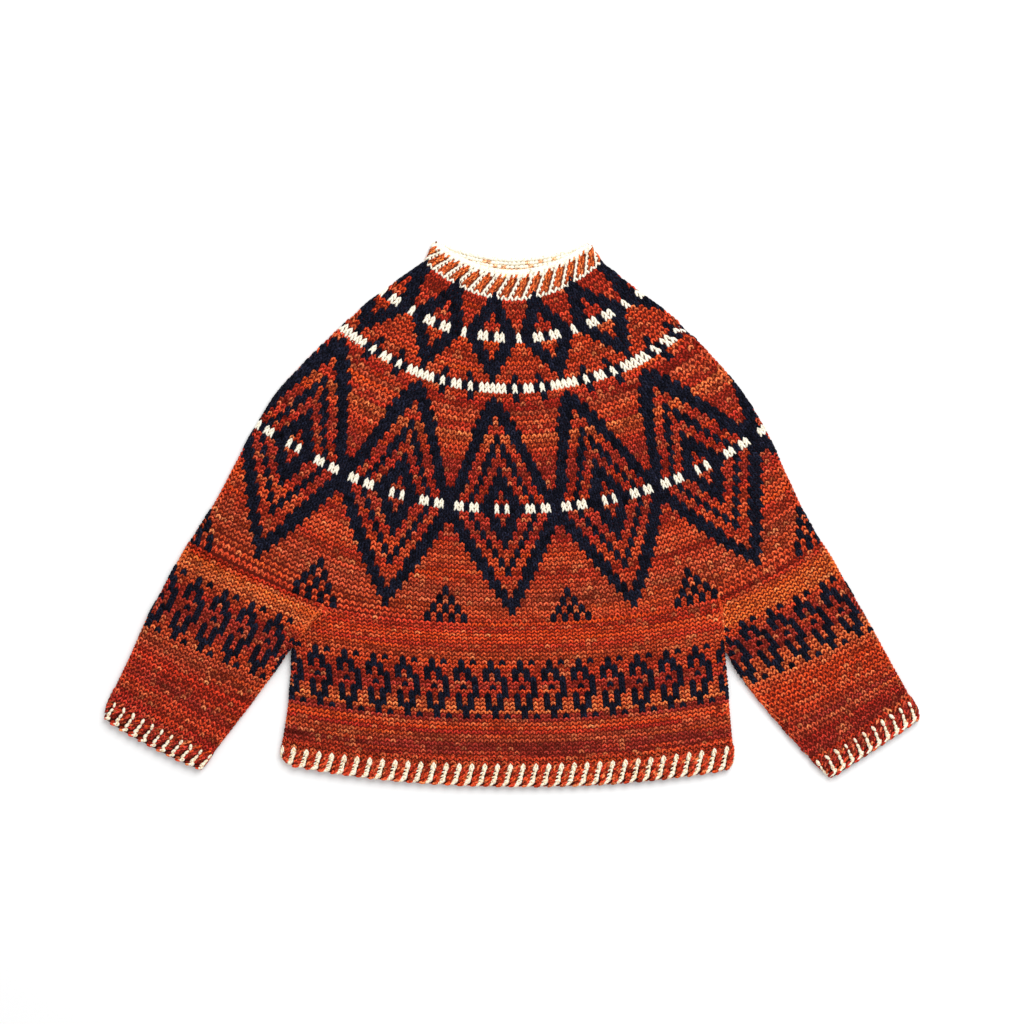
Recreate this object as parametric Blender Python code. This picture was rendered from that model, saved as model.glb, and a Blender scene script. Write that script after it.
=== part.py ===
"""A crochet pullover with a round yoke, laid flat with its front up.

Frame: +X to the right and +Y to the neck as the garment lies, +Z up off the surface,
with the origin under the middle of its bounding box. Sizes below are in millimetres.

Every piece is a flattened tube of cloth: a front layer on a back layer, joined by rounded
folds at the sides, and open at both ends. A tube is a loft through rows. Each row runs from
its left fold to its right fold and sags towards the hem, as a row of stitches does.
"""

import math
from collections import namedtuple

import bpy

MM = 0.001

# Cloth
WALL = 3.5            # one layer of worsted crochet
LOFT = 9.0            # both layers and the air between them
SEAM = 0.3            # clearance between pieces where a maker would join them
FOLD_ANGLES = (-45.0, 0.0, 45.0)

# Where the garment's middle lies from the middle of the tables below
CENTRE_X = 0.85
CENTRE_Y = 0.15

# Ribs, raised on the front layer of each band
HEM_RIBS = 35
CUFF_RIBS = 10
NECK_RIBS = 17
RIB_HEIGHT = 1.2
NECK_RIB_HEIGHT = 0.9
RIB_START = 0.30      # of a rib's pitch
RIB_END = 0.70

# Flat facets across one layer
BODY_FACETS = 14
SLEEVE_FACETS = 8
BACK_BAND_FACETS = 14

# Underarms: how far along the yoke's last row each one is, and how far it hangs there,
# as a share of the row's sag. The row is nearly straight over a sleeve and turns here.
LEFT_UNDERARM = 0.2155
RIGHT_UNDERARM = 0.8367
LEFT_UNDERARM_SAG = 0.803
RIGHT_UNDERARM_SAG = 0.692
SLEEVE_TOP_SAG = 0.03
BODY_TOP_BOW = 2.2
TROUGH_DEPTH = 1.3    # soft hollow in the yoke's front above each underarm
TROUGH_WIDTH = 0.035  # of the row's length

# The left sleeve's lower fold lies on the body's edge, which lifts it
LIFT_WIDTH = 36.0

# Facet corners nearer than this along the yoke's last row are made one
MERGE_SHARE = 0.0004
SHARP_ANGLE = 50.0    # degrees, where shading breaks

# Colours that stand for each piece's mixed yarns
YARN = {
    "neckband": (0.62, 0.25, 0.12),
    "yoke": (0.45, 0.09, 0.04),
    "body": (0.50, 0.12, 0.05),
    "hem_band": (0.60, 0.22, 0.10),
    "sleeve": (0.48, 0.14, 0.06),
    "cuff": (0.55, 0.20, 0.12),
}
YARN_ROUGHNESS = 0.95

Row = namedtuple(
    "Row", "left_x left_y right_x right_y front_sag back_sag bow lift trough turn"
)


def row(left_x, left_y, right_x, right_y, front_sag, back_sag, bow, lift=0.0, trough=0.0,
        turn=0.0):
    return Row(left_x, left_y, right_x, right_y, front_sag, back_sag, bow, lift, trough, turn)


# From the neck down. The back layer of each row sits a little nearer the neck.
#   left x, left y, right x, right y, front sag, back sag, bow
NECKBAND_ROWS = [
    row(-88.0, 313.4, 90.3, 310.5, 33.3, 19.5, 2.0),
    row(-92.0, 305.9, 94.3, 304.8, 36.3, 22.0, 2.0),
    row(-94.6, 298.0, 99.2, 297.3, 40.3, 25.0, 2.0),
    row(-100.0, 288.6, 104.6, 288.6, 43.7, 27.6, 2.0),
]

YOKE_ROWS = [
    row(-100.0, 288.6, 104.6, 288.6, 43.7, 27.6, 2.0),
    row(-140.9, 260.5, 144.3, 258.2, 52.9, 39.1, 2.0),
    row(-166.2, 240.9, 169.6, 238.6, 65.5, 52.9, 2.0),
    row(-190.3, 220.2, 195.5, 217.9, 74.8, 63.2, 2.05),
    row(-231.7, 179.4, 235.2, 176.5, 79.9, 70.7, 2.1),
    row(-267.9, 139.7, 265.1, 139.7, 87.4, 79.3, 2.2),
    row(-293.8, 99.5, 290.7, 99.5, 93.1, 86.2, 2.25),
    row(-316.8, 57.5, 310.5, 57.5, 97.7, 93.1, 2.35, trough=0.15, turn=0.35),
    row(-340.4, 12.6, 331.2, 12.6, 96.6, 93.1, 2.4, trough=0.45, turn=0.75),
    row(-358.8, -16.1, 346.1, -16.1, 97.7, 95.4, 2.4, trough=0.8, turn=1.0),
    row(-369.1, -32.2, 356.5, -32.2, 93.1, 93.1, 2.4, trough=1.0, turn=1.0),
]

# Below its first row, which is a stretch of the yoke's last one
BODY_ROWS = [
    row(-216.8, -112.9, 239.6, -104.6, 23.5, 23.5, 2.3),
    row(-232.9, -123.6, 241.9, -120.7, 21.6, 21.6, 2.2),
    row(-244.9, -139.1, 243.6, -139.1, 23.0, 23.0, 2.2),
    row(-251.8, -157.5, 245.3, -157.5, 23.0, 23.0, 2.2),
    row(-253.0, -182.8, 247.8, -182.8, 23.0, 23.0, 2.2),
    row(-256.4, -220.8, 250.7, -220.8, 23.0, 23.0, 2.2),
    row(-262.2, -258.8, 254.1, -258.8, 21.8, 21.8, 2.2),
]

HEM_ROWS = [
    row(-262.2, -258.8, 254.1, -258.8, 21.8, 21.8, 2.2),
    row(-264.5, -274.8, 256.4, -274.8, 21.8, 21.8, 2.2),
    row(-260.5, -284.0, 254.6, -287.0, 22.0, 22.0, 2.2),
    row(-253.0, -289.0, 249.5, -293.8, 21.6, 21.6, 2.2),
]

# Left ends are the sleeve's outer fold, right ends its lower one
SLEEVE_LEFT_ROWS = [
    row(-373.7, -40.2, -217.9, -112.9, 2.8, 2.8, 2.0, lift=6.6),
    row(-381.8, -52.9, -226.5, -123.6, 3.0, 3.0, 2.0, lift=9.6),
    row(-392.1, -71.3, -239.2, -139.1, 2.5, 2.5, 2.0, lift=9.6),
    row(-403.6, -93.1, -253.0, -156.4, 2.0, 2.0, 2.0, lift=6.0),
    row(-419.7, -123.0, -274.8, -187.4, 2.0, 2.0, 2.0, lift=1.2),
    row(-435.8, -159.8, -304.8, -227.7, 2.0, 2.0, 2.0),
    row(-454.2, -198.9, -339.2, -272.5, 1.5, 1.5, 2.0),
]

CUFF_LEFT_ROWS = [
    row(-454.2, -198.9, -339.2, -272.5, 1.5, 1.5, 2.0),
    row(-464.6, -221.9, -348.4, -285.8, 2.5, 2.5, 2.4),
    row(-466.3, -235.7, -354.8, -294.4, 3.5, 3.5, 2.8),
]

# Left ends are the sleeve's lower fold, right ends its outer one
SLEEVE_RIGHT_ROWS = [
    row(240.0, -104.6, 362.2, -40.2, 3.0, 3.0, 2.0),
    row(242.3, -120.7, 371.4, -55.2, 3.0, 3.0, 2.0),
    row(244.0, -139.1, 381.8, -74.8, 2.5, 2.5, 2.0),
    row(245.7, -157.5, 395.6, -97.7, 2.0, 2.0, 2.0),
    row(268.5, -194.9, 414.6, -131.1, 2.0, 2.0, 2.0),
    row(301.3, -235.2, 435.3, -169.0, 2.0, 2.0, 2.0),
    row(343.3, -282.3, 457.1, -208.1, 1.5, 1.5, 2.0),
]

CUFF_RIGHT_ROWS = [
    row(343.3, -282.3, 457.1, -208.1, 1.5, 1.5, 2.0),
    row(355.9, -294.4, 466.9, -224.2, 1.0, 1.0, 2.0),
    row(368.0, -303.6, 468.0, -236.9, 0.5, 0.5, 2.0),
]


def chord(r):
    """A row's length from fold to fold, and its direction."""
    dx = r.right_x - r.left_x
    dy = r.right_y - r.left_y
    length = math.hypot(dx, dy)
    return length, dx / length, dy / length


def turning(along):
    """The sag of a row that turns at each underarm, as a share of its sag in the middle."""
    if along < LEFT_UNDERARM:
        share = along / LEFT_UNDERARM
        return LEFT_UNDERARM_SAG * share + SLEEVE_TOP_SAG * 4.0 * share * (1.0 - share)
    if along > RIGHT_UNDERARM:
        share = (1.0 - along) / (1.0 - RIGHT_UNDERARM)
        return RIGHT_UNDERARM_SAG * share + SLEEVE_TOP_SAG * 4.0 * share * (1.0 - share)
    share = (along - LEFT_UNDERARM) / (RIGHT_UNDERARM - LEFT_UNDERARM)
    straight = LEFT_UNDERARM_SAG + (RIGHT_UNDERARM_SAG - LEFT_UNDERARM_SAG) * share
    rise = 1.0 - (LEFT_UNDERARM_SAG + RIGHT_UNDERARM_SAG) / 2.0
    return straight + rise * (1.0 - abs(2.0 * share - 1.0) ** BODY_TOP_BOW)


def on_row(r, along, front):
    """A point on a row: along is 0 at the left fold, front 0 on the back layer, both up to 1."""
    length, dx, dy = chord(r)
    sag = r.back_sag + (r.front_sag - r.back_sag) * front
    smooth = 1.0 - abs(2.0 * along - 1.0) ** r.bow
    drop = sag * (smooth + (turning(along) - smooth) * r.turn)
    x = r.left_x + dx * length * along + dy * drop
    y = r.left_y + dy * length * along - dx * drop
    return x, y


def whole(r, shift=0.0):
    """A row as a ring's path, moved by shift towards the hem or cuff."""
    length, dx, dy = chord(r)

    def place(along, front):
        x, y = on_row(r, along, front)
        return x + dy * shift, y - dx * shift

    return place, length, r


def stretch(r, start, end, shift, inset_left=0.0, inset_right=0.0):
    """Part of a row as a ring's path: where the yoke divides into body and sleeves."""
    length = chord(r)[0]
    start += inset_left / length
    end -= inset_right / length

    def place(along, front):
        x, y = on_row(r, start + (end - start) * along, front)
        return x, y - shift

    return place, length * (end - start), r._replace(lift=0.0, trough=0.0)


def even(count):
    """Shares of a layer's flat width for facets of one size."""
    return [step / count for step in range(count + 1)]


def ribbed(count):
    """Shares of a layer's flat width for ribs: a valley, then a rib's two top corners."""
    shares = []
    for rib in range(count):
        for part in (0.0, RIB_START, RIB_END):
            shares.append((rib + part) / count)
    return shares + [1.0]


def rib_tops(count, height):
    """The height that a rib adds at each of the ribbed shares."""
    return [0.0, height, height] * count + [0.0]


def lift_at(r, along, length, lifted_end):
    """How far a sleeve's fold is held up off the surface at this point."""
    reach = (along if lifted_end == "left" else 1.0 - along) * length
    if r.lift == 0.0 or reach > LIFT_WIDTH:
        return 0.0
    share = 1.0 - max(reach, 0.0) / LIFT_WIDTH
    return r.lift * share * share * (3.0 - 2.0 * share)


def trough_at(r, along):
    """The depth of the soft hollows above the underarms."""
    depth = 0.0
    for middle in (LEFT_UNDERARM, RIGHT_UNDERARM):
        depth += math.exp(-(((along - middle) / TROUGH_WIDTH) ** 2))
    return TROUGH_DEPTH * r.trough * min(depth, 1.0)


def ring(path, front_shares, back_shares, ribs, inner, lifted_end):
    """One closed ring of points round both layers, on the outside or the inside of the wall."""
    place, length, r = path
    fold = LOFT / 2.0
    radius = fold - WALL if inner else fold
    flat = length - 2.0 * fold
    points = []

    def add(along, front, height):
        x, y = place(along, front)
        height += lift_at(r, along, length, lifted_end)
        points.append(((x - CENTRE_X) * MM, (y - CENTRE_Y) * MM, height * MM))

    def add_fold(angle, at_left):
        turn = math.radians(angle)
        out = (fold - radius * math.cos(turn)) / length
        height = fold + radius * math.sin(turn)
        add(out if at_left else 1.0 - out, 0.5 + 0.5 * math.sin(turn), height)

    for angle in FOLD_ANGLES:
        add_fold(angle, True)
    for share, rib in zip(front_shares, ribs):
        along = (fold + flat * share) / length
        height = fold + radius - trough_at(r, along)
        add(along, 1.0, height if inner else height + rib)
    for angle in reversed(FOLD_ANGLES):
        add_fold(angle, False)
    for share in reversed(back_shares):
        along = (fold + flat * share) / length
        add(along, 0.0, fold - radius)
    return points


def tube(name, paths, yarn, front_shares, back_shares=None, ribs=None,
         lifted_end="right"):
    """A flattened tube of cloth: a loft of the outer and inner rings, closed at both rims."""
    back_shares = back_shares or front_shares
    ribs = ribs or [0.0] * len(front_shares)
    outer = []
    inner = []
    for path in paths:
        settings = (path, front_shares, back_shares, ribs)
        outer.append(ring(*settings, False, lifted_end))
        inner.append(ring(*settings, True, lifted_end))

    count = len(outer[0])
    points = [point for rings in (outer, inner) for one in rings for point in one]
    inner_start = len(paths) * count
    faces = []

    def corner(base, level, index):
        return base + level * count + index % count

    for level in range(len(paths) - 1):
        for index in range(count):
            for base, turned in ((0, False), (inner_start, True)):
                face = [
                    corner(base, level, index),
                    corner(base, level + 1, index),
                    corner(base, level + 1, index + 1),
                    corner(base, level, index + 1),
                ]
                faces.append(face[::-1] if turned else face)
    last = len(paths) - 1
    for level, turned in ((0, False), (last, True)):
        for index in range(count):
            face = [
                corner(0, level, index),
                corner(0, level, index + 1),
                corner(inner_start, level, index + 1),
                corner(inner_start, level, index),
            ]
            faces.append(face[::-1] if turned else face)

    mesh = bpy.data.meshes.new(name)
    mesh.from_pydata(points, [], faces)
    mesh.shade_smooth()
    mesh.set_sharp_from_angle(angle=math.radians(SHARP_ANGLE))
    mesh.materials.append(wool(name + "_wool", YARN[yarn]))
    pieces.objects.link(bpy.data.objects.new(name, mesh))


def wool(name, colour):
    """Matt wool yarn."""
    material = bpy.data.materials.new(name)
    material.use_nodes = True
    shader = material.node_tree.nodes["Principled BSDF"]
    shader.inputs["Base Color"].default_value = (*colour, 1.0)
    shader.inputs["Roughness"].default_value = YARN_ROUGHNESS
    shader.inputs["Metallic"].default_value = 0.0
    material.diffuse_color = (*colour, 1.0)
    return material


def shares_on_yoke(length, start, end, facets):
    """Where a lower tube's points lie along the yoke's last row."""
    own = length * (end - start)
    fold = LOFT / 2.0
    outs = [fold - fold * math.cos(math.radians(a)) for a in FOLD_ANGLES if a >= 0.0]
    flat = own - 2.0 * fold
    places = [fold + flat * share for share in even(facets)]
    places += outs + [own - out for out in outs]
    return [start + place / length for place in places]


def yoke_shares():
    """The yoke's facets, with a point wherever the body and sleeves below have one."""
    length = chord(YOKE_ROWS[-1])[0]
    fold = LOFT / 2.0 / length
    places = shares_on_yoke(length, 0.0, LEFT_UNDERARM, SLEEVE_FACETS)
    places += shares_on_yoke(length, LEFT_UNDERARM, RIGHT_UNDERARM, BODY_FACETS)
    places += shares_on_yoke(length, RIGHT_UNDERARM, 1.0, SLEEVE_FACETS)
    merged = [fold]
    for place in sorted(places):
        if merged[-1] + MERGE_SHARE < place < 1.0 - fold - MERGE_SHARE:
            merged.append(place)
    flat = 1.0 - 2.0 * fold
    return [(place - fold) / flat for place in merged] + [1.0]


def between(rows, first_shift, last_shift):
    """Paths for a whole tube, with clearance at each end."""
    paths = [whole(r) for r in rows]
    paths[0] = whole(rows[0], first_shift)
    paths[-1] = whole(rows[-1], last_shift)
    return paths


def make_neckband():
    tube("neckband", between(NECKBAND_ROWS, 0.0, -SEAM / 2.0), "neckband",
         ribbed(NECK_RIBS), even(BACK_BAND_FACETS),
         rib_tops(NECK_RIBS, NECK_RIB_HEIGHT))


def make_yoke():
    paths = [whole(r) for r in YOKE_ROWS]
    paths[0] = whole(YOKE_ROWS[0], SEAM / 2.0)
    tube("yoke", paths, "yoke", yoke_shares())


def make_body():
    last_yoke_row = YOKE_ROWS[-1]
    top = stretch(last_yoke_row, LEFT_UNDERARM, RIGHT_UNDERARM, SEAM, SEAM, SEAM)
    paths = [top] + between(BODY_ROWS, 0.0, -SEAM / 2.0)
    tube("body", paths, "body", even(BODY_FACETS))


def make_hem_band():
    tube("hem_band", between(HEM_ROWS, SEAM / 2.0, 0.0), "hem_band",
         ribbed(HEM_RIBS), even(BACK_BAND_FACETS), rib_tops(HEM_RIBS, RIB_HEIGHT))


def make_sleeve(side, rows, start, end, insets, lifted_end):
    top = stretch(YOKE_ROWS[-1], start, end, SEAM, *insets)
    paths = [top] + between(rows, 0.0, -SEAM / 2.0)
    tube("sleeve_" + side, paths, "sleeve", even(SLEEVE_FACETS),
         lifted_end=lifted_end)


def make_cuff(side, rows):
    tube("cuff_" + side, between(rows, SEAM / 2.0, 0.0), "cuff",
         ribbed(CUFF_RIBS), even(SLEEVE_FACETS), rib_tops(CUFF_RIBS, RIB_HEIGHT))


def clear_scene():
    for old in list(bpy.data.objects):
        bpy.data.objects.remove(old, do_unlink=True)


clear_scene()
pieces = bpy.data.collections.new("crochet_pullover")
bpy.context.scene.collection.children.link(pieces)

make_neckband()
make_yoke()
make_body()
make_hem_band()
make_sleeve("left", SLEEVE_LEFT_ROWS, 0.0, LEFT_UNDERARM, (0.0, SEAM), "right")
make_sleeve("right", SLEEVE_RIGHT_ROWS, RIGHT_UNDERARM, 1.0, (SEAM, 0.0), "left")
make_cuff("left", CUFF_LEFT_ROWS)
make_cuff("right", CUFF_RIGHT_ROWS)
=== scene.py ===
import math

import bpy
import numpy as np
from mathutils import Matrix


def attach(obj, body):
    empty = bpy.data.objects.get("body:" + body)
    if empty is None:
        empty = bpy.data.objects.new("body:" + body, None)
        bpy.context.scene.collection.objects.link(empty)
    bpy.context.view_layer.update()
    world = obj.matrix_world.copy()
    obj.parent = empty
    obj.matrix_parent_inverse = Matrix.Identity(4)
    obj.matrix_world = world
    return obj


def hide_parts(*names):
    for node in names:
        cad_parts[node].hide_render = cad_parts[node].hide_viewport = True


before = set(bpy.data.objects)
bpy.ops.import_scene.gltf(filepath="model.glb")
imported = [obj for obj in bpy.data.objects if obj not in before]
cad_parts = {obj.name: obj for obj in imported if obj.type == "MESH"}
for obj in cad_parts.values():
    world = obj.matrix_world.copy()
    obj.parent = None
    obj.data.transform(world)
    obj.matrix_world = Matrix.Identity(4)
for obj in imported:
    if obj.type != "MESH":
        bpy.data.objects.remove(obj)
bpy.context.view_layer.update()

# Crochet pullover with a round yoke, laid flat. Lengths below are in millimetres,
# rows run from the left fold to the right fold as the garment lies, front up.

mm = 0.001
pixel = 1.15                # millimetres to one pixel of the photograph
photoMiddle = (511, 513)    # the pixel where the row tables' x and y are 0
seed = np.random.default_rng(417)

cloth = {
    "loft": 9.0,            # front and back layer together
    "inset": 1.7,           # how far the ground cloth lies under the yarn's tops
    "thickness": 1.3,       # of the ground cloth
    "samples": 720,         # points round a row
    "steps": 400,           # rings along a stretch
    "centre": (0.85, 0.15),     # moved from here to the origin
    "lowest": 0.05,         # nothing lies lower than this
    "leftUnderarm": 0.2155,     # shares of the yoke's last row
    "rightUnderarm": 0.8367,
    "leftSag": 0.803,       # how far the last row has sagged there
    "rightSag": 0.692,
    "sleeveSag": 0.03,
    "bodyBow": 2.2,
    "troughDepth": 1.3,     # the soft troughs above the underarms
    "troughWidth": 0.035,
    "liftWidth": 36.0,      # how much of a sleeve's row is lifted by a fold
    "creaseEdge": 2.5,      # creases fade out this near to a fold
    "steepest": 0.35,       # how steeply a column of stitches may rise
}

# soft creases: from and to in pixels of the photograph, height and half width in mm
frontCreases = [
    ((721, 604), (702, 512), -1.1, 9), ((716, 640), (724, 596), -1.2, 7),
    ((319, 606), (341, 524), -1.0, 10), ((655, 362), (738, 522), 0.8, 17),
    ((378, 352), (296, 508), 0.7, 19), ((520, 402), (548, 560), -0.5, 22),
    ((338, 642), (372, 738), -0.7, 13), ((692, 652), (652, 742), -0.6, 15),
    ((455, 690), (448, 778), 0.6, 17), ((560, 660), (578, 772), -0.4, 16),
    ((226, 560), (178, 664), -0.8, 10), ((262, 610), (196, 726), 0.6, 12),
    ((790, 566), (846, 676), -0.8, 10), ((768, 640), (842, 744), 0.6, 13),
    ((205, 556), (292, 590), -0.7, 9), ((742, 572), (812, 540), -0.7, 9),
]
backCreases = [
    ((330, 600), (372, 520), 0.8, 12), ((700, 596), (660, 500), 0.9, 12),
    ((440, 360), (400, 520), 0.6, 18), ((590, 380), (640, 540), 0.5, 20),
    ((400, 650), (430, 745), 0.7, 14), ((620, 660), (596, 752), 0.5, 16),
    ((238, 574), (176, 690), 0.7, 11), ((784, 590), (850, 700), 0.8, 11),
]

# left x, left y, right x, right y, front sag, back sag, bow, lift, trough, turn
neckRows = [
    (-88.0, 313.4, 90.3, 310.5, 33.3, 19.5, 2.0, 0, 0, 0),
    (-92.0, 305.9, 94.3, 304.8, 36.3, 22.0, 2.0, 0, 0, 0),
    (-94.6, 298.0, 99.2, 297.3, 40.3, 25.0, 2.0, 0, 0, 0),
    (-100.0, 288.6, 104.6, 288.6, 43.7, 27.6, 2.0, 0, 0, 0),
]
yokeRows = [
    neckRows[-1],
    (-140.9, 260.5, 144.3, 258.2, 52.9, 39.1, 2.0, 0, 0, 0),
    (-166.2, 240.9, 169.6, 238.6, 65.5, 52.9, 2.0, 0, 0, 0),
    (-190.3, 220.2, 195.5, 217.9, 74.8, 63.2, 2.05, 0, 0, 0),
    (-231.7, 179.4, 235.2, 176.5, 79.9, 70.7, 2.1, 0, 0, 0),
    (-267.9, 139.7, 265.1, 139.7, 87.4, 79.3, 2.2, 0, 0, 0),
    (-293.8, 99.5, 290.7, 99.5, 93.1, 86.2, 2.25, 0, 0, 0),
    (-316.8, 57.5, 310.5, 57.5, 97.7, 93.1, 2.35, 0, 0.15, 0.35),
    (-340.4, 12.6, 331.2, 12.6, 96.6, 93.1, 2.4, 0, 0.45, 0.75),
    (-358.8, -16.1, 346.1, -16.1, 97.7, 95.4, 2.4, 0, 0.8, 1.0),
    (-369.1, -32.2, 356.5, -32.2, 93.1, 93.1, 2.4, 0, 1.0, 1.0),
]
bodyRows = [
    (-216.8, -112.9, 239.6, -104.6, 23.5, 23.5, 2.3, 0, 0, 0),
    (-232.9, -123.6, 241.9, -120.7, 21.6, 21.6, 2.2, 0, 0, 0),
    (-244.9, -139.1, 243.6, -139.1, 23.0, 23.0, 2.2, 0, 0, 0),
    (-251.8, -157.5, 245.3, -157.5, 23.0, 23.0, 2.2, 0, 0, 0),
    (-253.0, -182.8, 247.8, -182.8, 23.0, 23.0, 2.2, 0, 0, 0),
    (-256.4, -220.8, 250.7, -220.8, 23.0, 23.0, 2.2, 0, 0, 0),
    (-262.2, -258.8, 254.1, -258.8, 21.8, 21.8, 2.2, 0, 0, 0),
]
hemRows = [
    bodyRows[-1],
    (-264.5, -274.8, 256.4, -274.8, 21.8, 21.8, 2.2, 0, 0, 0),
    (-260.5, -284.0, 254.6, -287.0, 22.0, 22.0, 2.2, 0, 0, 0),
    (-253.0, -289.0, 249.5, -293.8, 21.6, 21.6, 2.2, 0, 0, 0),
]
leftSleeveRows = [
    (-373.7, -40.2, -217.9, -112.9, 2.8, 2.8, 2.0, 6.6, 0, 0),
    (-381.8, -52.9, -226.5, -123.6, 3.0, 3.0, 2.0, 9.6, 0, 0),
    (-392.1, -71.3, -239.2, -139.1, 2.5, 2.5, 2.0, 9.6, 0, 0),
    (-403.6, -93.1, -253.0, -156.4, 2.0, 2.0, 2.0, 6.0, 0, 0),
    (-419.7, -123.0, -274.8, -187.4, 2.0, 2.0, 2.0, 1.2, 0, 0),
    (-435.8, -159.8, -304.8, -227.7, 2.0, 2.0, 2.0, 0, 0, 0),
    (-454.2, -198.9, -339.2, -272.5, 1.5, 1.5, 2.0, 0, 0, 0),
]
leftCuffRows = [
    leftSleeveRows[-1],
    (-464.6, -221.9, -348.4, -285.8, 2.5, 2.5, 2.4, 0, 0, 0),
    (-466.3, -235.7, -354.8, -294.4, 3.5, 3.5, 2.8, 0, 0, 0),
]
# the left cuff's ribs are all one length, so they start lower at its outer fold
leftRibRows = [
    (-458.6, -208.6, -339.2, -272.5, 1.5, 1.5, 2.0, 0, 0, 0),
    *leftCuffRows[1:],
]
rightSleeveRows = [
    (240.0, -104.6, 362.2, -40.2, 3.0, 3.0, 2.0, 0, 0, 0),
    (242.3, -120.7, 371.4, -55.2, 3.0, 3.0, 2.0, 0, 0, 0),
    (244.0, -139.1, 381.8, -74.8, 2.5, 2.5, 2.0, 0, 0, 0),
    (245.7, -157.5, 395.6, -97.7, 2.0, 2.0, 2.0, 0, 0, 0),
    (268.5, -194.9, 414.6, -131.1, 2.0, 2.0, 2.0, 0, 0, 0),
    (301.3, -235.2, 435.3, -169.0, 2.0, 2.0, 2.0, 0, 0, 0),
    (343.3, -282.3, 457.1, -208.1, 1.5, 1.5, 2.0, 0, 0, 0),
]
rightCuffRows = [
    rightSleeveRows[-1],
    (355.9, -294.4, 466.9, -224.2, 1.0, 1.0, 2.0, 0, 0, 0),
    (368.0, -303.6, 468.0, -236.9, 0.5, 0.5, 2.0, 0, 0, 0),
]


def fromPhoto(spots):
    # pixels of the photograph as millimetres
    return (np.array(spots, float) - photoMiddle) * (pixel, -pixel)


def turning(along):
    # the yoke's last rows turn at each underarm
    left, right = cloth["leftUnderarm"], cloth["rightUnderarm"]
    share = along / left
    overLeft = cloth["leftSag"] * share + cloth["sleeveSag"] * 4 * share * (1 - share)
    share = (1 - along) / (1 - right)
    overRight = cloth["rightSag"] * share + cloth["sleeveSag"] * 4 * share * (1 - share)
    share = (along - left) / (right - left)
    straight = cloth["leftSag"] + (cloth["rightSag"] - cloth["leftSag"]) * share
    rise = 1 - (cloth["leftSag"] + cloth["rightSag"]) / 2
    overBody = straight + rise * (1 - np.abs(2 * share - 1) ** cloth["bodyBow"])
    return np.where(along < left, overLeft, np.where(along > right, overRight, overBody))


def onRow(row, along, front):
    leftX, leftY, rightX, rightY, frontSag, backSag, bow = row[:7]
    turn = row[9]
    dx, dy = rightX - leftX, rightY - leftY
    length = math.hypot(dx, dy)
    smooth = 1 - np.abs(2 * along - 1) ** bow
    drop = (backSag + (frontSag - backSag) * front) * (
        smooth + (turning(along) - smooth) * turn
    )
    return leftX + dx * along + dy / length * drop, leftY + dy * along - dx / length * drop


def ringOf(row, inset, liftedEnd="right", part=(0.0, 1.0)):
    # one row's points, from the left fold over the front and home along the back
    leftX, leftY, rightX, rightY = row[:4]
    lift, trough = row[7:9]
    length = math.hypot(rightX - leftX, rightY - leftY) * (part[1] - part[0])
    fold = cloth["loft"] / 2
    radius = fold - inset
    quarter = radius * math.pi / 2
    flat = length - 2 * fold
    way = np.linspace(0, 2 * quarter + flat, cloth["samples"] // 2, endpoint=False)
    angle = np.minimum(way, 2 * quarter + flat - way) / radius
    angle = np.minimum(angle, math.pi / 2)
    out = fold - radius * np.cos(angle)
    along = np.where(way < quarter, out, np.where(way > quarter + flat, length - out,
                                                  fold + way - quarter)) / length
    rise = np.sin(angle)
    layers = []
    for side, share in ((1, along), (-1, 1 - along)):
        x, y = onRow(row, part[0] + (part[1] - part[0]) * share, 0.5 + 0.5 * side * rise)
        z = fold + side * radius * rise
        if part == (0.0, 1.0):
            if side > 0:
                dip = sum(np.exp(-(((share - cloth[arm]) / cloth["troughWidth"]) ** 2))
                          for arm in ("leftUnderarm", "rightUnderarm"))
                z = z - cloth["troughDepth"] * trough * np.minimum(dip, 1) * rise
            reach = (share if liftedEnd == "left" else 1 - share) * length
            near = np.clip(1 - reach / cloth["liftWidth"], 0, 1)
            z = z + lift * near * near * (3 - 2 * near)
        layers.append(np.stack([x, y, z], axis=1))
    return np.concatenate(layers)


def creased(points, creases):
    # how much these points rise, each crease fading out to its sides and ends
    rise = np.zeros(len(points))
    for start, end, height, width in creases:
        start, end = fromPhoto([start, end])
        way = end - start
        share = np.clip((points[:, :2] - start) @ way / (way @ way), 0, 1)
        gap = np.linalg.norm(points[:, :2] - start - share[:, None] * way, axis=1)
        fade = np.sin(math.pi * np.clip(0.12 + 0.76 * share, 0, 1))
        rise += height * fade * np.exp(-(gap / width) ** 2)
    return rise


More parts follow.
